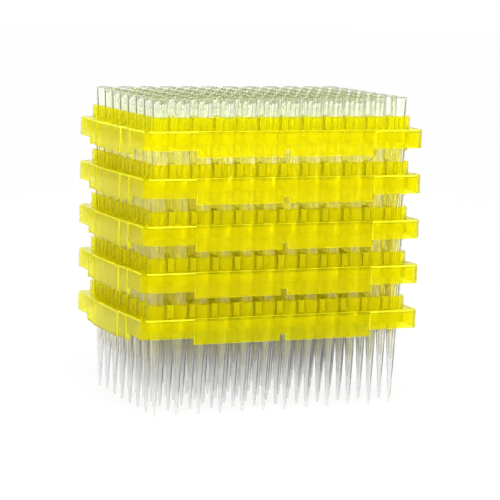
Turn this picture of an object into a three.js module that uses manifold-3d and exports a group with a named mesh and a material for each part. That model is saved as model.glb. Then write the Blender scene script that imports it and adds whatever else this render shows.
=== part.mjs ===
// Nested refill stack for 200 ul pipette tips: five moulded racks, each carrying 8 x 12 tips,
// with every rack standing on the rims of the tips in the rack below and every tip nested in
// the tip below it. Millimetres, +Z up. X runs along the 12 columns, Y along the 8 rows, and
// the stack stands on the ends of its lowest tips at Z = 0, centred on the origin.
import * as THREE from "three";
import { mergeGeometries, mergeVertices } from "three/addons/utils/BufferGeometryUtils.js";
import Module from "manifold-3d";

const wasm = await Module();
wasm.setup();

// Stack and grid
const LEVELS = 5;
const COLUMNS = 12;
const ROWS = 8;
const PITCH = 9; // spacing of the 96 places, the same both ways
const REST_GAP = 0.3; // between surfaces that rest on one another

// Tip: a tapered tube with a wider collar at its mouth
const TIP_LENGTH = 50.2;
const END_RADIUS = 0.48; // outside, at the dispensing end
const END_BORE = 0.22;
const CONE_RADIUS = 2.5; // outside, at the top of the long cone
const COLLAR_LENGTH = 11.5; // from the shoulder to the rim
const SHOULDER_HEIGHT = 0.9; // the short flare between cone and collar
const COLLAR_RADIUS = 3.0;
const RIM_RADIUS = 3.25;
const CONE_WALL = 0.45;
const RIM_WALL = 0.55;

// Rack: a deck with a lobed block of sockets on it and a stepped skirt round it
const DECK_THICKNESS = 1.3;
const SOCKET_HEIGHT = 4.9; // block above the deck's top face
const SOCKET_DEPTH = 5.25; // block below the deck's top face
const SOCKET_GAP = 0.3; // between a tip and the walls of its socket
const LOBE_RADIUS = 4.55; // round each outer place, above the deck
const FLAT_REACH = 3.1; // from the outer rows of places to the flats between the lobes
const FOOT_REACH = 3.8; // from the same rows to the block's side below the deck
const DECK_LEDGE_X = 3.85; // deck from the lobes to the skirt's outside, short sides
const DECK_LEDGE_Y = 2.85; // the same on the long sides
const CORNER_RADIUS = 4;
const SKIRT_WALL = 1.2;
const CORNER_SKIRT = 7.25; // skirt height at the four corners
const DEEP_SKIRT = 9.85; // skirt height in the middle of each side
const DEEP_HALF_X = 36.6; // half the deep stretch of a long side
const DEEP_HALF_Y = 22.8; // half the deep stretch of a short side
const LONG_SIDE_RECESS = 0.3; // deep stretch set back from the corners, long sides
const SHORT_SIDE_PAD = 0.4; // deep stretch standing out from the corners, short sides
const GRIP_HALF_WIDTH = 13.9; // grip panel in the middle of each short side
const GRIP_PAD = 0.55; // panel standing out from the deep stretch
const GRIP_EDGE_RISE = 0.8; // of the lower edge, from the panel to the deep stretch's ends
const NOTCH_WIDTH = 2.6; // in the middle of each long side's lower edge
const NOTCH_HEIGHT = 2.5;

// Faces round each tip
const SIDES_LOOSE = 6; // tips of column 1, each a part of its own
const SIDES_TOP = 6; // tips joined to the top rack, open to view from above
const SIDES_EDGE = 5; // joined tips at the edges of the lower racks
const SIDES_INNER = 3; // joined tips that the edge rows hide
const CORNER_FACETS = 4; // in a quarter turn of the skirt's corner
const LOBE_FACETS = 3; // in each lobe of the block

const CUT_OVER = 1; // how far a cutting shape runs past the faces that it cuts

// Levels that follow
const SHOULDER_Z = TIP_LENGTH - COLLAR_LENGTH; // top of the shoulder, from the tip's end
const CONE_TOP_Z = SHOULDER_Z - SHOULDER_HEIGHT;
const DECK_Z = CONE_TOP_Z + REST_GAP; // deck top, from the same tip's end
const LEVEL_PITCH = TIP_LENGTH - DECK_Z + REST_GAP + SOCKET_DEPTH; // a rack stands on rims
const BLOCK_TOP = DECK_Z + SOCKET_HEIGHT;
const BLOCK_FOOT = DECK_Z - SOCKET_DEPTH;
const GRID_HALF_X = ((COLUMNS - 1) * PITCH) / 2; // out to the outer rows of places
const GRID_HALF_Y = ((ROWS - 1) * PITCH) / 2;
const HALF_X = GRID_HALF_X + LOBE_RADIUS + DECK_LEDGE_X; // skirt's outside at the corners
const HALF_Y = GRID_HALF_Y + LOBE_RADIUS + DECK_LEDGE_Y;
const SKIRT_FOOT = DECK_Z - DEEP_SKIRT;

const RACK_PLASTIC = new THREE.MeshStandardMaterial({
  color: "#e6e000",
  roughness: 0.35,
  metalness: 0,
});
const TIP_PLASTIC = new THREE.MeshStandardMaterial({
  color: "#dfe3de",
  roughness: 0.3,
  metalness: 0,
});

const placeX = (column) => (column - (COLUMNS - 1) / 2) * PITCH;
const placeY = (row) => (row - (ROWS - 1) / 2) * PITCH;

// Outside radius of a tip at a height above its end
function tipRadius(z) {
  if (z <= CONE_TOP_Z) {
    return THREE.MathUtils.lerp(END_RADIUS, CONE_RADIUS, z / CONE_TOP_Z);
  }
  const t = (z - SHOULDER_Z) / COLLAR_LENGTH;
  return THREE.MathUtils.lerp(COLLAR_RADIUS, RIM_RADIUS, t);
}

function solidOf(geometry) {
  const bare = geometry.clone();
  bare.deleteAttribute("normal");
  bare.deleteAttribute("uv");
  const merged = mergeVertices(bare, 1e-4);
  const index = merged.index.array;
  const faces = [];
  for (let i = 0; i < index.length; i += 3) {
    const [a, b, c] = [index[i], index[i + 1], index[i + 2]];
    if (a !== b && b !== c && c !== a) faces.push(a, b, c); // a pole leaves empty triangles
  }
  return new wasm.Manifold(
    new wasm.Mesh({
      numProp: 3,
      vertProperties: new Float32Array(merged.attributes.position.array),
      triVerts: new Uint32Array(faces),
    }),
  );
}

function geometryOf(solid) {
  const mesh = solid.getMesh();
  const geometry = new THREE.BufferGeometry();
  geometry.setAttribute("position", new THREE.BufferAttribute(mesh.vertProperties, 3));
  geometry.setIndex(new THREE.BufferAttribute(mesh.triVerts, 1));
  geometry.computeVertexNormals();
  return geometry;
}

// A profile of [radius, z] pairs turned about Z. The radii are stretched a little, so that
// the faceted section has the round one's area.
function turned(profile, sides) {
  const stretch = Math.sqrt((2 * Math.PI) / sides / Math.sin((2 * Math.PI) / sides));
  const points = profile.map(([r, z]) => new THREE.Vector2(r * stretch, z));
  return new THREE.LatheGeometry(points, sides, Math.PI / sides).rotateX(Math.PI / 2);
}

// A shape drawn in X and Y, raised from one level to another
function raised(shape, from, to) {
  const curveSegments = CORNER_FACETS / 2; // an arc gets twice as many facets
  const options = { depth: to - from, bevelEnabled: false, curveSegments };
  return new THREE.ExtrudeGeometry(shape, options).translate(0, 0, from);
}

function box(fromX, toX, fromY, toY, fromZ, toZ) {
  return new THREE.BoxGeometry(toX - fromX, toY - fromY, toZ - fromZ).translate(
    (fromX + toX) / 2,
    (fromY + toY) / 2,
    (fromZ + toZ) / 2,
  );
}

// The whole tip: cone, shoulder and collar outside, one long tapered bore inside
function looseTip() {
  const profile = [
    [END_RADIUS, 0],
    [CONE_RADIUS, CONE_TOP_Z],
    [COLLAR_RADIUS, SHOULDER_Z],
    [RIM_RADIUS, TIP_LENGTH],
    [RIM_RADIUS - RIM_WALL, TIP_LENGTH],
    [CONE_RADIUS - CONE_WALL, CONE_TOP_Z],
    [END_BORE, 0],
    [END_RADIUS, 0],
  ];
  return geometryOf(solidOf(turned(profile, SIDES_LOOSE)));
}

// The skirt's outline, quarter by quarter: grip panel, pad, rounded corner, recessed middle
function skirtOutline() {
  const pad = HALF_X + SHORT_SIDE_PAD;
  const grip = pad + GRIP_PAD;
  const r = CORNER_RADIUS;
  const shape = new THREE.Shape();
  shape.moveTo(grip, -GRIP_HALF_WIDTH);
  for (const [sx, sy, start] of [[1, 1, 0], [-1, 1, 1], [-1, -1, 2], [1, -1, 3]]) {
    const side = [
      [grip, GRIP_HALF_WIDTH],
      [pad, GRIP_HALF_WIDTH],
      [pad, DEEP_HALF_Y],
      [HALF_X, DEEP_HALF_Y],
    ];
    const middle = [
      [DEEP_HALF_X, HALF_Y],
      [DEEP_HALF_X, HALF_Y - LONG_SIDE_RECESS],
    ];
    const upward = sx * sy > 0; // this quarter runs from the short side to the long one
    const before = upward ? side : middle.reverse();
    const after = upward ? middle : side.reverse();
    before.forEach(([x, y]) => shape.lineTo(sx * x, sy * y));
    const from = (start * Math.PI) / 2;
    shape.absarc(sx * (HALF_X - r), sy * (HALF_Y - r), r, from, from + Math.PI / 2, false);
    after.forEach(([x, y]) => shape.lineTo(sx * x, sy * y));
  }
  return shape;
}

// The room inside the skirt, one wall in from its shallowest face
function skirtRoom() {
  const x = HALF_X - SKIRT_WALL;
  const y = HALF_Y - LONG_SIDE_RECESS - SKIRT_WALL;
  const r = CORNER_RADIUS - SKIRT_WALL;
  const shape = new THREE.Shape();
  shape.absarc(x - r, y - r, r, 0, Math.PI / 2, false);
  shape.absarc(r - x, y - r, r, Math.PI / 2, Math.PI, false);
  shape.absarc(r - x, r - y, r, Math.PI, Math.PI * 1.5, false);
  shape.absarc(x - r, r - y, r, Math.PI * 1.5, Math.PI * 2, false);
  return shape;
}

// The block's outline above the deck: a round lobe at each outer place, with flats between
function blockOutline() {
  const origin = new THREE.Vector2();
  const spread = Math.acos(FLAT_REACH / LOBE_RADIUS); // half of what a lobe's arc turns through
  const points = [];
  [COLUMNS, ROWS, COLUMNS, ROWS].forEach((count, side) => {
    const out = side % 2 === 0 ? GRID_HALF_Y : GRID_HALF_X;
    for (let i = 1; i < count; i += 1) {
      const isCorner = i === count - 1; // its arc runs on round to the next side
      const centre = new THREE.Vector2((i - (count - 1) / 2) * PITCH, -out);
      const from = -Math.PI / 2 - spread;
      const to = isCorner ? spread : spread - Math.PI / 2;
      const facets = isCorner ? 2 * LOBE_FACETS : LOBE_FACETS;
      for (let step = 0; step <= facets; step += 1) {
        const angle = THREE.MathUtils.lerp(from, to, step / facets);
        const point = new THREE.Vector2(LOBE_RADIUS, 0).rotateAround(origin, angle);
        points.push(point.add(centre).rotateAround(origin, (side * Math.PI) / 2));
      }
    }
  });
  return new THREE.Shape(points);
}

// Below the skirt beside the grip panels, where the lower edge rises to the deep stretch's ends
function gripEdgeCutter(side) {
  const below = SKIRT_FOOT - CUT_OVER;
  const reach = HALF_X + SHORT_SIDE_PAD + GRIP_PAD + CUT_OVER;
  const corners = [
    [GRIP_HALF_WIDTH, below],
    [DEEP_HALF_Y, below],
    [DEEP_HALF_Y, SKIRT_FOOT + GRIP_EDGE_RISE],
    [GRIP_HALF_WIDTH, SKIRT_FOOT],
  ];
  const shape = new THREE.Shape(corners.map(([y, z]) => new THREE.Vector2(side * y, z)));
  const alongX = new THREE.Matrix4().makeBasis(
    new THREE.Vector3(0, 1, 0),
    new THREE.Vector3(0, 0, 1),
    new THREE.Vector3(1, 0, 0),
  );
  return raised(shape, -reach, reach).applyMatrix4(alongX);
}

// Deck, skirt and socket block, before any tip or socket
function bareRack() {
  let rack = solidOf(raised(skirtOutline(), SKIRT_FOOT, DECK_Z));
  const below = SKIRT_FOOT - CUT_OVER;
  const cut = (geometry) => {
    rack = rack.subtract(solidOf(geometry));
  };
  cut(raised(skirtRoom(), below, DECK_Z - DECK_THICKNESS));
  const span = (a, b) => (a < b ? [a, b] : [b, a]);
  for (const sy of [-1, 1]) {
    for (const sx of [-1, 1]) {
      const xs = span(sx * DEEP_HALF_X, sx * (HALF_X + CUT_OVER));
      const ys = span(sy * DEEP_HALF_Y, sy * (HALF_Y + CUT_OVER));
      cut(box(...xs, ...ys, below, DECK_Z - CORNER_SKIRT));
    }
    const inside = HALF_Y - LONG_SIDE_RECESS - SKIRT_WALL - CUT_OVER;
    const ys = span(sy * inside, sy * (HALF_Y + CUT_OVER));
    cut(box(-NOTCH_WIDTH / 2, NOTCH_WIDTH / 2, ...ys, below, SKIRT_FOOT + NOTCH_HEIGHT));
    cut(gripEdgeCutter(sy));
  }
  const footX = GRID_HALF_X + FOOT_REACH;
  const footY = GRID_HALF_Y + FOOT_REACH;
  const middle = DECK_Z - DECK_THICKNESS / 2;
  const foot = box(-footX, footX, -footY, footY, BLOCK_FOOT, middle);
  const lobes = raised(blockOutline(), middle, BLOCK_TOP);
  return rack.add(solidOf(foot)).add(solidOf(lobes));
}

// A socket for a loose tip: wide down to the deck, where the tip's shoulder sits on a ledge
function socketCutter() {
  const wide = tipRadius(BLOCK_TOP) + SOCKET_GAP;
  const narrow = CONE_RADIUS + SOCKET_GAP;
  const flare = (SHOULDER_HEIGHT * SOCKET_GAP) / (COLLAR_RADIUS - CONE_RADIUS);
  const ledge = CONE_TOP_Z + flare - REST_GAP;
  return turned(
    [
      [0, BLOCK_FOOT - CUT_OVER],
      [narrow, BLOCK_FOOT - CUT_OVER],
      [narrow, ledge],
      [wide, ledge],
      [wide, BLOCK_TOP + CUT_OVER],
      [0, BLOCK_TOP + CUT_OVER],
    ],
    SIDES_LOOSE,
  );
}

// The collar of a tip joined to its rack, rooted in the socket block and cut off at the rim
function joinedCollar(sides) {
  const root = BLOCK_TOP - SOCKET_HEIGHT / 2;
  const over = TIP_LENGTH + CUT_OVER;
  return turned(
    [
      [0, root],
      [tipRadius(root), root],
      [tipRadius(over), over],
      [0, over],
    ],
    sides,
  );
}

// The mouth of a joined tip, tapering to a point inside the block
function joinedBore() {
  return turned(
    [
      [0, BLOCK_FOOT + SOCKET_DEPTH / 2],
      [RIM_RADIUS - RIM_WALL, TIP_LENGTH],
      [RIM_RADIUS - RIM_WALL, TIP_LENGTH + CUT_OVER],
      [0, TIP_LENGTH + CUT_OVER],
    ],
    SIDES_TOP,
  );
}

// The cone of a joined tip, below the block and cut off at its end
function joinedCone(sides) {
  const root = BLOCK_FOOT + SOCKET_DEPTH / 2;
  return turned(
    [
      [0, -CUT_OVER],
      [tipRadius(-CUT_OVER), -CUT_OVER],
      [tipRadius(root), root],
      [0, root],
    ],
    sides,
  );
}

// One closed geometry holding a copy of the shape at each place that the test accepts
function pattern(shape, accepts) {
  const copies = [];
  for (let column = 0; column < COLUMNS; column += 1) {
    for (let row = 0; row < ROWS; row += 1) {
      if (accepts(column, row)) {
        copies.push(shape.clone().translate(placeX(column), placeY(row), 0));
      }
    }
  }
  return solidOf(mergeGeometries(copies));
}

// Everything past the rims and the tips' ends
function trimmed(rack) {
  const room = [-HALF_X, HALF_X, -HALF_Y, HALF_Y];
  const over = box(...room, TIP_LENGTH, TIP_LENGTH + 2 * CUT_OVER);
  const under = box(...room, -2 * CUT_OVER, 0);
  return rack.subtract(solidOf(over)).subtract(solidOf(under));
}

const isLoose = (column) => column === 0;
const isEdge = (column, row) => column === COLUMNS - 1 || row === 0 || row === ROWS - 1;

function rackWithTips(level) {
  let rack = bareRack();
  rack = rack.subtract(pattern(socketCutter(), isLoose));
  if (level === LEVELS - 1) {
    rack = rack.add(pattern(joinedCollar(SIDES_TOP), (column) => !isLoose(column)));
    rack = rack.subtract(pattern(joinedBore(), (column) => !isLoose(column)));
    return geometryOf(trimmed(rack));
  }
  const edge = (column, row) => !isLoose(column) && isEdge(column, row);
  const inner = (column, row) => !isLoose(column) && !isEdge(column, row);
  rack = rack.add(pattern(joinedCollar(SIDES_EDGE), edge));
  rack = rack.add(pattern(joinedCollar(SIDES_INNER), inner));
  if (level === 0) {
    rack = rack.add(pattern(joinedCone(SIDES_EDGE), edge));
    rack = rack.add(pattern(joinedCone(SIDES_INNER), inner));
  }
  return geometryOf(trimmed(rack));
}

const stack = new THREE.Group();
for (let level = 0; level < LEVELS; level += 1) {
  const layer = new THREE.Group();
  layer.position.z = level * LEVEL_PITCH;
  const rack = new THREE.Mesh(rackWithTips(level), RACK_PLASTIC);
  rack.name = `rack_${level + 1}`;
  layer.add(rack);
  for (let row = 0; row < ROWS; row += 1) {
    const tip = new THREE.Mesh(looseTip(), TIP_PLASTIC);
    tip.name = `rack_${level + 1}_tip_${"abcdefgh"[row]}1`;
    tip.position.set(placeX(0), placeY(row), 0);
    layer.add(tip);
  }
  stack.add(layer);
}

export default stack;
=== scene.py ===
"""The nested stack of pipette tip racks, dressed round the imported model."""

import math

import bmesh
import bpy
from mathutils import Matrix, Vector


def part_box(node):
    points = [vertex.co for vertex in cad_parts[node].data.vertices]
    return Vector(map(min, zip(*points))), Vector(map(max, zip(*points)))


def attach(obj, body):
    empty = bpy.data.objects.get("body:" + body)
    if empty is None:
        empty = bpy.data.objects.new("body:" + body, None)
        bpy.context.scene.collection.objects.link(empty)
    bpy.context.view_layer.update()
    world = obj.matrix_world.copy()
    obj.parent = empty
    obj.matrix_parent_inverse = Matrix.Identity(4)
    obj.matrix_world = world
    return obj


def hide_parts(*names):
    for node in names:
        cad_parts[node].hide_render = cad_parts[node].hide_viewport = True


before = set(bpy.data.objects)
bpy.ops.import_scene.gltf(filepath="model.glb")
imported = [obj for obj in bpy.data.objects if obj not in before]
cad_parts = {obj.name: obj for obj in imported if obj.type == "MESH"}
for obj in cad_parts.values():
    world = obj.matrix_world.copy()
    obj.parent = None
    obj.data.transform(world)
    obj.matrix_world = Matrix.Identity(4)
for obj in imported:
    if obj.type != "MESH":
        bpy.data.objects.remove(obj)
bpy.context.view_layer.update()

# ---- Camera ------------------------------------------------------------------------------
# A long lens from the front left, looking a little down on the stack. The rig is rolled
# slightly, and the aim is near the centre of the stack.

MM = 0.001
CAMERA_AZIMUTH = -23.025
CAMERA_ELEVATION = 7.697
CAMERA_ROLL = 1.458
CAMERA_DISTANCE = 867.506 * MM
CAMERA_AIM = Vector((1.653 * MM, 0, 57.968 * MM))

camera_data = bpy.data.cameras.new("camera")
camera_data.sensor_width = 36
camera_data.lens = 157.25
camera_data.clip_start = 0.05
camera_data.clip_end = 20
camera = bpy.data.objects.new("camera", camera_data)
bpy.context.scene.collection.objects.link(camera)
bpy.context.scene.camera = camera
camera_turn = (
    Matrix.Rotation(math.radians(CAMERA_AZIMUTH), 4, "Z")
    @ Matrix.Rotation(math.radians(90 - CAMERA_ELEVATION), 4, "X")
    @ Matrix.Rotation(math.radians(CAMERA_ROLL), 4, "Z")
)
camera_reach = Matrix.Translation((0, 0, CAMERA_DISTANCE))
camera.matrix_world = Matrix.Translation(CAMERA_AIM) @ camera_turn @ camera_reach

# ---- Racks: shape ------------------------------------------------------------------------
# Each rack is one thin-walled injection moulding: a deck, a lobed block of 96 stepped sockets
# through it, and a stepped skirt with a grip panel on each short side.

LEVELS = 5
COLUMNS = 12
ROWS = 8
ROW_LETTERS = "abcdefgh"

tip_low, tip_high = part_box("rack_1_tip_a1")
next_low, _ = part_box("rack_1_tip_b1")
upper_low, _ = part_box("rack_2_tip_a1")
PITCH = next_low.y - tip_low.y
LEVEL_PITCH = upper_low.z - tip_low.z
FIRST_X = (tip_low.x + tip_high.x) / 2
FIRST_Y = (tip_low.y + tip_high.y) / 2
TIP_LENGTH = tip_high.z - tip_low.z

DECK_Z = 38.1 * MM  # deck top of the lowest rack
DECK_THICKNESS = 1.3 * MM
BLOCK_TOP = DECK_Z + 4.9 * MM
BLOCK_FOOT = DECK_Z - 5.25 * MM
LOBE_RADIUS = 4.55 * MM
LOBE_SIDES = 32
FLAT_X = -FIRST_X + 3.1 * MM  # flats between the lobes
FLAT_Y = -FIRST_Y + 3.1 * MM
FOOT_X = -FIRST_X + 3.8 * MM  # block below the deck
FOOT_Y = -FIRST_Y + 3.8 * MM
FOOT_CORNER = 1.3 * MM
HALF_X = -FIRST_X + LOBE_RADIUS + 3.85 * MM
HALF_Y = -FIRST_Y + LOBE_RADIUS + 2.85 * MM
SKIRT_WALL = 1.2 * MM
CORNER_RADIUS = 4 * MM
CORNER_SEGMENTS = 6
CORNER_SKIRT = 7.25 * MM
DEEP_SKIRT = 9.85 * MM
DEEP_X = 36.6 * MM
DEEP_Y = 22.8 * MM
SIDE_RECESS = 0.3 * MM
SIDE_PAD = 0.4 * MM
GRIP_PAD = 0.55 * MM
GRIP_Y = 13.9 * MM
GRIP_EDGE_RISE = 0.8 * MM
NOTCH_WIDTH = 2.6 * MM
NOTCH_HEIGHT = 2.5 * MM
EDGE_ROUND = 0.3 * MM
DECK_ROUND = 0.6 * MM
ROUND_SEGMENTS = 2
SHARP_EDGE = 0.2 * MM  # broken edges of the skirt
SHARP_ANGLE = math.radians(60)
SHORT_EDGE = 2 * MM  # pieces of the corner arcs, which stay as they are
CUT_OVER = 1 * MM
CUT_WIDE = 5 * MM
MERGE_DISTANCE = 1e-6
SHADING_ANGLE = math.radians(32)
LEDGE_Z = 38.04 * MM
SOCKET_NARROW = 2.8 * MM
SOCKET_WIDE = 3.4 * MM
SOCKET_LEAD = 0.35 * MM
SOCKET_SIDES = 24


def places():
    """Centres of the 96 places, column by column, each with its column and row."""
    for column in range(COLUMNS):
        for row in range(ROWS):
            yield column, row, Vector((FIRST_X + column * PITCH, FIRST_Y + row * PITCH, 0))


def slab(half_x, half_y, low, high, corner=0.0, rounding=0.0, at=(0, 0)):
    """A box centred on a point, with its upright edges and then its top edges rounded."""
    bm = bmesh.new()
    bmesh.ops.create_cube(bm, size=1)
    bmesh.ops.scale(bm, vec=(2 * half_x, 2 * half_y, high - low), verts=bm.verts)
    bmesh.ops.translate(bm, vec=(at[0], at[1], (low + high) / 2), verts=bm.verts)
    if corner:
        upright = [e for e in bm.edges if abs(e.verts[0].co.z - e.verts[1].co.z) > EDGE_ROUND]
        bmesh.ops.bevel(
            bm, geom=upright, offset=corner, offset_type="OFFSET",
            segments=CORNER_SEGMENTS, profile=0.5, affect="EDGES", material=-1,
        )
    if rounding:
        rim = [e for e in bm.edges if all(v.co.z > high - EDGE_ROUND for v in e.verts)]
        bmesh.ops.bevel(
            bm, geom=rim, offset=rounding, offset_type="OFFSET",
            segments=ROUND_SEGMENTS, profile=0.5, affect="EDGES", material=-1,
        )
    return bm


def added(bm, other):
    """Adds the loose shells of one bmesh to another, with no join."""
    mesh = bpy.data.meshes.new("part")
    other.to_mesh(mesh)
    other.free()
    bm.from_mesh(mesh)
    bpy.data.meshes.remove(mesh)
    return bm


def combined(base, other, operation):
    """The exact join or cut of two bmeshes, as a new bmesh."""
    objects = []
    for bm in (base, other):
        mesh = bpy.data.meshes.new("part")
        bm.to_mesh(mesh)
        bm.free()
        piece = bpy.data.objects.new("part", mesh)
        bpy.context.scene.collection.objects.link(piece)
        objects.append(piece)
    boolean = objects[0].modifiers.new("boolean", "BOOLEAN")
    boolean.operation = operation
    boolean.solver = "EXACT"
    boolean.use_self = True
    boolean.object = objects[1]
    result = bmesh.new()
    result.from_object(objects[0], bpy.context.evaluated_depsgraph_get())
    for piece in objects:
        mesh = piece.data
        bpy.data.objects.remove(piece)
        bpy.data.meshes.remove(mesh)
    return result


def turned(profile, sides):
    """A closed solid from [radius, height] pairs spun once round Z."""
    bm = bmesh.new()
    points = [bm.verts.new((r, 0, z)) for r, z in profile]
    for a, b in zip(points, points[1:] + points[:1]):
        if a.co.xy.length > 0 or b.co.xy.length > 0:
            bm.edges.new((a, b))
    bmesh.ops.spin(
        bm, geom=bm.verts[:] + bm.edges[:], cent=(0, 0, 0), axis=(0, 0, 1),
        angle=2 * math.pi, steps=sides, use_merge=True, use_duplicate=False,
    )
    bmesh.ops.remove_doubles(bm, verts=bm.verts, dist=MERGE_DISTANCE)
    bmesh.ops.recalc_face_normals(bm, faces=bm.faces)
    return bm


def repeated(shape, centres):
    """One bmesh with a copy of the shape at each centre."""
    mesh = bpy.data.meshes.new("copy")
    shape.to_mesh(mesh)
    shape.free()
    bm = bmesh.new()
    for centre in centres:
        mesh.transform(Matrix.Translation(centre))
        bm.from_mesh(mesh)
        mesh.transform(Matrix.Translation(-centre))
    bpy.data.meshes.remove(mesh)
    return bm


def outer_places():
    """The places round the edge of the grid, where the block has its lobes."""
    for column, row, centre in places():
        if column in (0, COLUMNS - 1) or row in (0, ROWS - 1):
            yield centre


def skirt():
    """The deck and the stepped skirt, hollow below."""
    foot = DECK_Z - DEEP_SKIRT
    below = foot - CUT_OVER
    rack = slab(HALF_X, HALF_Y, foot, DECK_Z, CORNER_RADIUS, DECK_ROUND)
    pad_x = HALF_X + SIDE_PAD
    pad = slab(pad_x, DEEP_Y, foot, DECK_Z, rounding=DECK_ROUND)
    rack = combined(rack, pad, "UNION")
    grip = slab(pad_x + GRIP_PAD, GRIP_Y, foot, DECK_Z, rounding=DECK_ROUND)
    rack = combined(rack, grip, "UNION")
    inner_y = HALF_Y - SIDE_RECESS
    side = bmesh.new()
    for sign in (-1, 1):
        middle = (0, sign * (inner_y + CUT_OVER))
        added(side, slab(DEEP_X, CUT_OVER, below, DECK_Z + CUT_OVER, at=middle))
    rack = combined(rack, side, "DIFFERENCE")
    room_x = HALF_X - SKIRT_WALL
    room_y = inner_y - SKIRT_WALL
    room = slab(room_x, room_y, below, DECK_Z - DECK_THICKNESS, CORNER_RADIUS - SKIRT_WALL)
    rack = combined(rack, room, "DIFFERENCE")
    low = bmesh.new()
    half_x = (HALF_X + CUT_WIDE - DEEP_X) / 2
    half_y = (HALF_Y + CUT_WIDE - DEEP_Y) / 2
    for sx in (-1, 1):
        for sy in (-1, 1):
            at = (sx * (DEEP_X + half_x), sy * (DEEP_Y + half_y))
            added(low, slab(half_x, half_y, below, DECK_Z - CORNER_SKIRT, at=at))
        notch_top = foot + NOTCH_HEIGHT
        at = (0, sx * HALF_Y)
        added(low, slab(NOTCH_WIDTH / 2, CUT_WIDE / 2, below, notch_top, at=at))
        added(low, grip_edge(sx, foot))
    rack = combined(rack, low, "DIFFERENCE")
    corners = [e for e in rack.edges if is_outer_corner(e)]
    bmesh.ops.bevel(
        rack, geom=corners, offset=SHARP_EDGE, offset_type="OFFSET",
        segments=1, profile=0.5, affect="EDGES", material=-1, clamp_overlap=True,
    )
    return rack


def is_outside(point):
    """Whether a point lies on the rack's outer faces."""
    at_end = abs(point.x) > HALF_X - DECK_ROUND
    return at_end or abs(point.y) > HALF_Y - SIDE_RECESS - DECK_ROUND


def is_outer_corner(edge):
    """Whether an edge is a straight, sharp corner of the skirt, away from the grip panels."""
    middle = (edge.verts[0].co + edge.verts[1].co) / 2
    plain = abs(middle.y) > DEEP_Y + EDGE_ROUND and middle.z < DECK_Z - 2 * DECK_ROUND
    sharp = edge.is_convex and edge.calc_face_angle(0) > SHARP_ANGLE
    return is_outside(middle) and plain and sharp and edge.calc_length() > SHORT_EDGE


def grip_edge(side, foot):
    """A long wedge that trims the skirt's lower edge, rising from the grip panel outwards."""
    middle = side * (GRIP_Y + DEEP_Y) / 2
    half = (DEEP_Y - GRIP_Y) / 2
    wedge = slab(HALF_X + CUT_WIDE, half, foot - CUT_OVER, foot, at=(0, middle))
    for vert in wedge.verts:
        if vert.co.z > foot - EDGE_ROUND and vert.co.y * side > GRIP_Y + half:
            vert.co.z += GRIP_EDGE_RISE
    return wedge


def rack_moulding():
    """The whole rack: skirt and deck, the block through it, and the 96 stepped sockets."""
    deck_middle = DECK_Z - DECK_THICKNESS / 2
    lobe = turned(
        [
            (0, deck_middle),
            (LOBE_RADIUS, deck_middle),
            (LOBE_RADIUS, BLOCK_TOP - EDGE_ROUND),
            (LOBE_RADIUS - EDGE_ROUND, BLOCK_TOP),
            (0, BLOCK_TOP),
        ],
        LOBE_SIDES,
    )
    block = slab(FLAT_X, FLAT_Y, deck_middle, BLOCK_TOP)
    block = combined(block, repeated(lobe, outer_places()), "UNION")
    rack = combined(skirt(), block, "UNION")
    block_foot = slab(FOOT_X, FOOT_Y, BLOCK_FOOT, deck_middle, FOOT_CORNER)
    rack = combined(rack, block_foot, "UNION")
    socket = turned(
        [
            (0, BLOCK_FOOT - CUT_OVER),
            (SOCKET_NARROW, BLOCK_FOOT - CUT_OVER),
            (SOCKET_NARROW, LEDGE_Z),
            (SOCKET_WIDE, LEDGE_Z),
            (SOCKET_WIDE, BLOCK_TOP - SOCKET_LEAD),
            (SOCKET_WIDE + SOCKET_LEAD, BLOCK_TOP),
            (SOCKET_WIDE + SOCKET_LEAD, BLOCK_TOP + CUT_OVER),
            (0, BLOCK_TOP + CUT_OVER),
        ],
        SOCKET_SIDES,
    )
    sockets = repeated(socket, [centre for _, _, centre in places()])
    return combined(rack, sockets, "DIFFERENCE")


def finished(name, bm, height, materials):
    """A named piece from a bmesh, raised to its level, riding on the stack."""
    mesh = bpy.data.meshes.new(name)
    bm.to_mesh(mesh)
    mesh.transform(Matrix.Translation((0, 0, height)))
    mesh.shade_smooth()
    mesh.set_sharp_from_angle(angle=SHADING_ANGLE)
    for material in materials:
        mesh.materials.append(material)
    piece = bpy.data.objects.new(name, mesh)
    bpy.context.scene.collection.objects.link(piece)
    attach(piece, "root")
    return piece


# ---- Racks: polypropylene ----------------------------------------------------------------
# Fluorescent yellow polypropylene, moulded smooth in walls of about 1 mm. It is see-through,
# so the tips and sockets behind show softly. Its edges and the flats between its lobes are
# painted a paler yellow, painted glow that stands in for the light they give off.


def srgb(code):
    """A hex colour as linear values."""
    values = [int(code[i:i + 2], 16) / 255 for i in (1, 3, 5)]
    linear = [v / 12.92 if v <= 0.04045 else ((v + 0.055) / 1.055) ** 2.4 for v in values]
    return (*linear, 1.0)


def add_node(tree, kind, settings=(), sockets=(), links=()):
    """A node with its settings, its socket values, and links into its sockets."""
    node = tree.nodes.new(kind)
    for key, value in dict(settings).items():
        setattr(node, key, value)
    for key, value in dict(sockets).items():
        node.inputs[key].default_value = value
    for key, source in dict(links).items():
        tree.links.new(source, node.inputs[key])
    return node


def plastic(name, finish):
    """A moulded plastic with the finish of one shader."""
    material = bpy.data.materials.new(name)
    material.use_nodes = True
    tree = material.node_tree
    tree.nodes.clear()
    shader = add_node(tree, "ShaderNodeBsdfPrincipled", {"distribution": "MULTI_GGX"}, finish)
    add_node(tree, "ShaderNodeOutputMaterial", links={"Surface": shader.outputs["BSDF"]})
    return material


# A thin wall of it bends light little, so what lies behind it stays in its place.
rack_plastic = plastic(
    "fluorescent_yellow_polypropylene",
    {
        "Base Color": srgb("#FFF900"),
        "Roughness": 0.15,
        "IOR": 1.12,
        "Specular IOR Level": 0.1,
        "Transmission Weight": 0.8,
        "Alpha": 0.8,
    },
)
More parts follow.
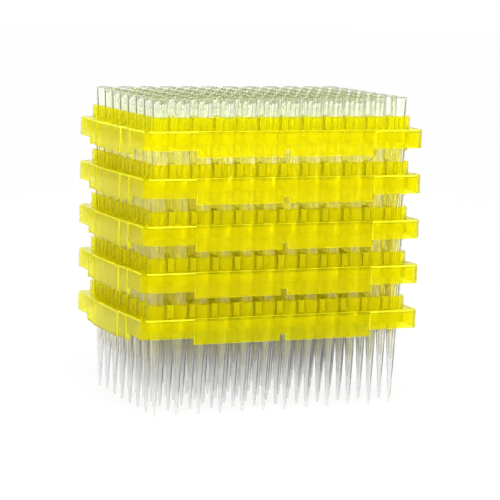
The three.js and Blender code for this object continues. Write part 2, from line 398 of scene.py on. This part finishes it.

# Painted glow: the outer edges and narrow steps get a paler, less clear yellow that stands in
# for the light the dye pipes along the walls to where they end.
painted_edge_glow_plastic = plastic(
    "yellow_polypropylene_painted_edge_glow",
    {
        "Base Color": srgb("#FFFF30"),
        "Roughness": 0.3,
        "IOR": 1.3,
        "Transmission Weight": 0.5,
    },
)

# Painted glow: the flats between the lobes get a less clear yellow that the lamps light more,
# standing in for the light that the solid webs between the sockets lead there.
painted_web_glow_plastic = plastic(
    "yellow_polypropylene_painted_web_glow",
    {
        "Base Color": srgb("#FFF600"),
        "Roughness": 0.3,
        "IOR": 1.15,
        "Specular IOR Level": 0.15,
        "Transmission Weight": 0.65,
    },
)

RACK_FINISHES = (rack_plastic, painted_edge_glow_plastic, painted_web_glow_plastic)
PAINTED_EDGE_GLOW_FINISH = 1
PAINTED_WEB_GLOW_FINISH = 2
UPRIGHT_LIMIT = 0.25  # heights of a face's normal
LEVEL_LIMIT = 0.97
STEP_AREA = 6 * MM * MM
FLAT_TOLERANCE = 0.01 * MM

rack_shape = rack_moulding()
for face in rack_shape.faces:
    centre = face.calc_center_median()
    slanted = UPRIGHT_LIMIT < abs(face.normal.z) < LEVEL_LIMIT
    upright = abs(face.normal.z) < UPRIGHT_LIMIT
    narrow_step = upright and face.calc_area() < STEP_AREA and centre.z < DECK_Z
    off_flat = min(abs(abs(centre.x) - FLAT_X), abs(abs(centre.y) - FLAT_Y))
    between_lobes = upright and centre.z > DECK_Z and off_flat < FLAT_TOLERANCE
    # The flats between the lobes get the painted web glow.
    if between_lobes:
        face.material_index = PAINTED_WEB_GLOW_FINISH
    # Slanted outer faces and narrow outer steps get the painted edge glow.
    elif is_outside(centre) and (slanted or narrow_step):
        face.material_index = PAINTED_EDGE_GLOW_FINISH
for level in range(LEVELS):
    name = f"rack_{level + 1}"
    height = level * LEVEL_PITCH
    rack = finished(f"{name}_moulding", rack_shape, height, RACK_FINISHES)
    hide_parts(name)
rack_shape.free()

# ---- Tips --------------------------------------------------------------------------------
# Thin tapered tubes of natural polypropylene, moulded clear and slightly milky. Each has a
# long cone, a short shoulder, and a collar with a bead round its mouth.

CONE_TOP = 37.8 * MM
SHOULDER_TOP = 38.7 * MM
END_RADIUS = 0.48 * MM
END_BORE = 0.22 * MM
CONE_RADIUS = 2.5 * MM
COLLAR_RADIUS = 3.0 * MM
COLLAR_TOP_RADIUS = 3.1 * MM
RIM_RADIUS = 3.25 * MM
BEAD_HEIGHT = 1.1 * MM
BEAD_UPRIGHT = BEAD_HEIGHT * 0.7  # above the bead's slope
MOUTH_RADIUS = 2.7 * MM
CONE_BORE = 2.05 * MM
LIP = 0.15 * MM
RIM_EDGE = 0.3 * MM
TIP_SIDES = 20
INNER_TIP_SIDES = 12  # tips that others hide

TIP_PROFILE = [
    (END_RADIUS, 0),
    (CONE_RADIUS, CONE_TOP),
    (COLLAR_RADIUS, SHOULDER_TOP),
    (COLLAR_TOP_RADIUS, TIP_LENGTH - BEAD_HEIGHT),
    (RIM_RADIUS, TIP_LENGTH - BEAD_UPRIGHT),
    (RIM_RADIUS, TIP_LENGTH - RIM_EDGE),
    (RIM_RADIUS - LIP, TIP_LENGTH),
    (MOUTH_RADIUS + LIP, TIP_LENGTH),
    (MOUTH_RADIUS, TIP_LENGTH - LIP),
    (CONE_BORE, CONE_TOP),
    (END_BORE, 0),
]

# Light passes many walls on its way through a full rack, so the faintest tint adds up.
tip_plastic = plastic(
    "natural_polypropylene_polished",
    {
        "Base Color": srgb("#FFFEEA"),
        "Roughness": 0.03,
        "IOR": 1.4,
        "Transmission Weight": 1.0,
    },
)

# The free cones of the lowest rack look milky against each other.
cone_plastic = plastic(
    "natural_polypropylene_milky",
    {
        "Base Color": srgb("#FBFBFB"),
        "Roughness": 0.07,
        "IOR": 1.35,
        "Transmission Weight": 0.9,
    },
)

# The collars of the top rack stand free and clear. Their green tinge is painted light: the
# yellow light that the rack below throws on them, painted into their colour.
crown_painted_bounce_plastic = plastic(
    "natural_polypropylene_painted_yellow_bounce",
    {
        "Base Color": srgb("#FDFFF6"),
        "Roughness": 0.03,
        "IOR": 1.37,
        "Transmission Weight": 1.0,
    },
)

# The rounded rims of the top rack send light sideways. Their thin dark rings are painted
# shade: a grey colour painted on the rims.
painted_grey_rim_plastic = plastic(
    "natural_polypropylene_painted_grey_rim",
    {
        "Base Color": srgb("#A4AA9C"),
        "Roughness": 0.2,
        "IOR": 1.4,
        "Transmission Weight": 0.9,
    },
)

TIP_FINISHES = (tip_plastic, cone_plastic, crown_painted_bounce_plastic, painted_grey_rim_plastic)
CONE_FINISH = 1
CROWN_PAINTED_BOUNCE_FINISH = 2
PAINTED_RIM_SHADE_FINISH = 3


def tip_tube(level, sides):
    """One hollow tip on the origin, with the finishes of its place in the stack."""
    tube = turned(TIP_PROFILE, sides)
    for face in tube.faces:
        centre = face.calc_center_median()
        if level == 0 and centre.z < CONE_TOP:
            face.material_index = CONE_FINISH
        # The top rack's collars get the painted yellow bounce tint.
        if level == LEVELS - 1 and centre.z > SHOULDER_TOP:
            at_rim = centre.z > TIP_LENGTH - RIM_EDGE and centre.xy.length > RIM_RADIUS - LIP
            # The top rack's rims get the painted grey shade.
            face.material_index = PAINTED_RIM_SHADE_FINISH if at_rim else CROWN_PAINTED_BOUNCE_FINISH
    return tube


for level in range(LEVELS):
    name = f"rack_{level + 1}"
    height = level * LEVEL_PITCH
    sides = TIP_SIDES if level == LEVELS - 1 else INNER_TIP_SIDES
    centres = [centre for column, _, centre in places() if column > 0]
    joined = repeated(tip_tube(level, sides), centres)
    tips = finished(f"{name}_tips_2_to_12", joined, height, TIP_FINISHES)
    joined.free()
    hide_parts(name)
    for column, row, centre in places():
        if column == 0:
            node = f"{name}_tip_{ROW_LETTERS[row]}1"
            shape = repeated(tip_tube(level, TIP_SIDES), [centre])
            tip = finished(f"{node}_tube", shape, height, TIP_FINISHES)
            shape.free()
            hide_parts(node)

# ---- Floor, world and lamps --------------------------------------------------------------
# A white studio: a floor that fades into a white surround, a soft key lamp and even light.
# Grey flags stand at its four corners, and clear tubes catch them as dark outlines.

FLOOR_SIZE = 4
FLOOR_GLOW = 0.9
SHADE_LIGHT = 0.9
SEEN_LIGHT = 1.0
FLAGS_TURN = -23.0
FLAG_START = 0.36
FLAG_FULL = 0.46
FLAG_GREY = 0.1
CLEAR_BOUNCES = 128  # through the many walls of five full racks
OTHER_BOUNCES = 32

floor_mesh = bpy.data.meshes.new("floor")
bm = bmesh.new()
bmesh.ops.create_grid(bm, x_segments=1, y_segments=1, size=FLOOR_SIZE)
bm.to_mesh(floor_mesh)
bm.free()
floor = bpy.data.objects.new("floor", floor_mesh)
bpy.context.scene.collection.objects.link(floor)


def indirect_rays(tree):
    """1 for the rays that see the studio by a reflection or through the plastic."""
    path = add_node(tree, "ShaderNodeLightPath").outputs
    return add_node(
        tree, "ShaderNodeMath", {"operation": "ADD", "use_clamp": True},
        links={0: path["Is Glossy Ray"], 1: path["Is Transmission Ray"]},
    ).outputs[0]


def seen_rays(tree):
    """1 for the rays that see the studio: straight, by a reflection or through the plastic."""
    path = add_node(tree, "ShaderNodeLightPath").outputs
    return add_node(
        tree, "ShaderNodeMath", {"operation": "ADD", "use_clamp": True},
        links={0: path["Is Camera Ray"], 1: indirect_rays(tree)},
    ).outputs[0]


def flags(tree):
    """1 in every direction, and darker towards the four corners of the studio."""
    way = add_node(tree, "ShaderNodeTexCoord").outputs["Generated"]
    along = []
    for degrees in (FLAGS_TURN, FLAGS_TURN + 90):
        axis = (math.cos(math.radians(degrees)), math.sin(math.radians(degrees)), 0)
        dot = {"operation": "DOT_PRODUCT"}
        along.append(add_node(tree, "ShaderNodeVectorMath", dot, {1: axis}, {0: way}))
    corner = add_node(
        tree, "ShaderNodeMath", {"operation": "MULTIPLY"},
        links={0: along[0].outputs["Value"], 1: along[1].outputs["Value"]},
    )
    either = add_node(
        tree, "ShaderNodeMath", {"operation": "ABSOLUTE"}, links={0: corner.outputs[0]},
    )
    return add_node(
        tree, "ShaderNodeMapRange",
        sockets={
            "From Min": FLAG_START, "From Max": FLAG_FULL, "To Min": 1.0, "To Max": FLAG_GREY,
        },
        links={"Value": either.outputs[0]},
    ).outputs["Result"]


floor_paint = bpy.data.materials.new("white_studio_paper")
floor_paint.use_nodes = True
tree = floor_paint.node_tree
tree.nodes.clear()
paper = add_node(tree, "ShaderNodeBsdfDiffuse", sockets={"Color": srgb("#FFFFFF")})
white = add_node(tree, "ShaderNodeEmission", sockets={"Color": (1, 1, 1, 1), "Strength": 1.0})
share = add_node(
    tree, "ShaderNodeMath", {"operation": "MULTIPLY"}, {1: FLOOR_GLOW}, {0: seen_rays(tree)},
)
mixed = add_node(
    tree, "ShaderNodeMixShader",
    links={0: share.outputs[0], 1: paper.outputs["BSDF"], 2: white.outputs["Emission"]},
)
add_node(tree, "ShaderNodeOutputMaterial", links={"Surface": mixed.outputs["Shader"]})
floor_mesh.materials.append(floor_paint)

world = bpy.data.worlds.new("studio")
bpy.context.scene.world = world
world.use_nodes = True
tree = world.node_tree
tree.nodes.clear()
level_of_light = add_node(
    tree, "ShaderNodeMapRange",
    sockets={"To Min": SHADE_LIGHT, "To Max": SEEN_LIGHT}, links={"Value": seen_rays(tree)},
)
flagged = add_node(
    tree, "ShaderNodeMix", {"data_type": "FLOAT"},
    sockets={2: 1.0}, links={0: indirect_rays(tree), 3: flags(tree)},
)
studio_light = add_node(
    tree, "ShaderNodeMath", {"operation": "MULTIPLY"},
    links={0: level_of_light.outputs["Result"], 1: flagged.outputs[0]},
)
backdrop = add_node(
    tree, "ShaderNodeBackground",
    sockets={"Color": (1, 1, 1, 1)}, links={"Strength": studio_light.outputs[0]},
)
add_node(tree, "ShaderNodeOutputWorld", links={"Surface": backdrop.outputs["Background"]})

key_data = bpy.data.lights.new("key", "AREA")
key_data.shape = "DISK"
key_data.size = 0.4
key_data.energy = 2.5
key = bpy.data.objects.new("key", key_data)
bpy.context.scene.collection.objects.link(key)
key_place = Vector((-0.08, -0.32, 0.5))
key_aim = Vector((0, 0, 0.06))
key_turn = (key_aim - key_place).to_track_quat("-Z", "Y")
key.matrix_world = Matrix.Translation(key_place) @ key_turn.to_matrix().to_4x4()

scene = bpy.context.scene
scene.view_settings.view_transform = "Standard"
scene.cycles.max_bounces = CLEAR_BOUNCES
scene.cycles.transmission_bounces = CLEAR_BOUNCES
scene.cycles.transparent_max_bounces = CLEAR_BOUNCES
scene.cycles.diffuse_bounces = OTHER_BOUNCES
scene.cycles.glossy_bounces = OTHER_BOUNCES
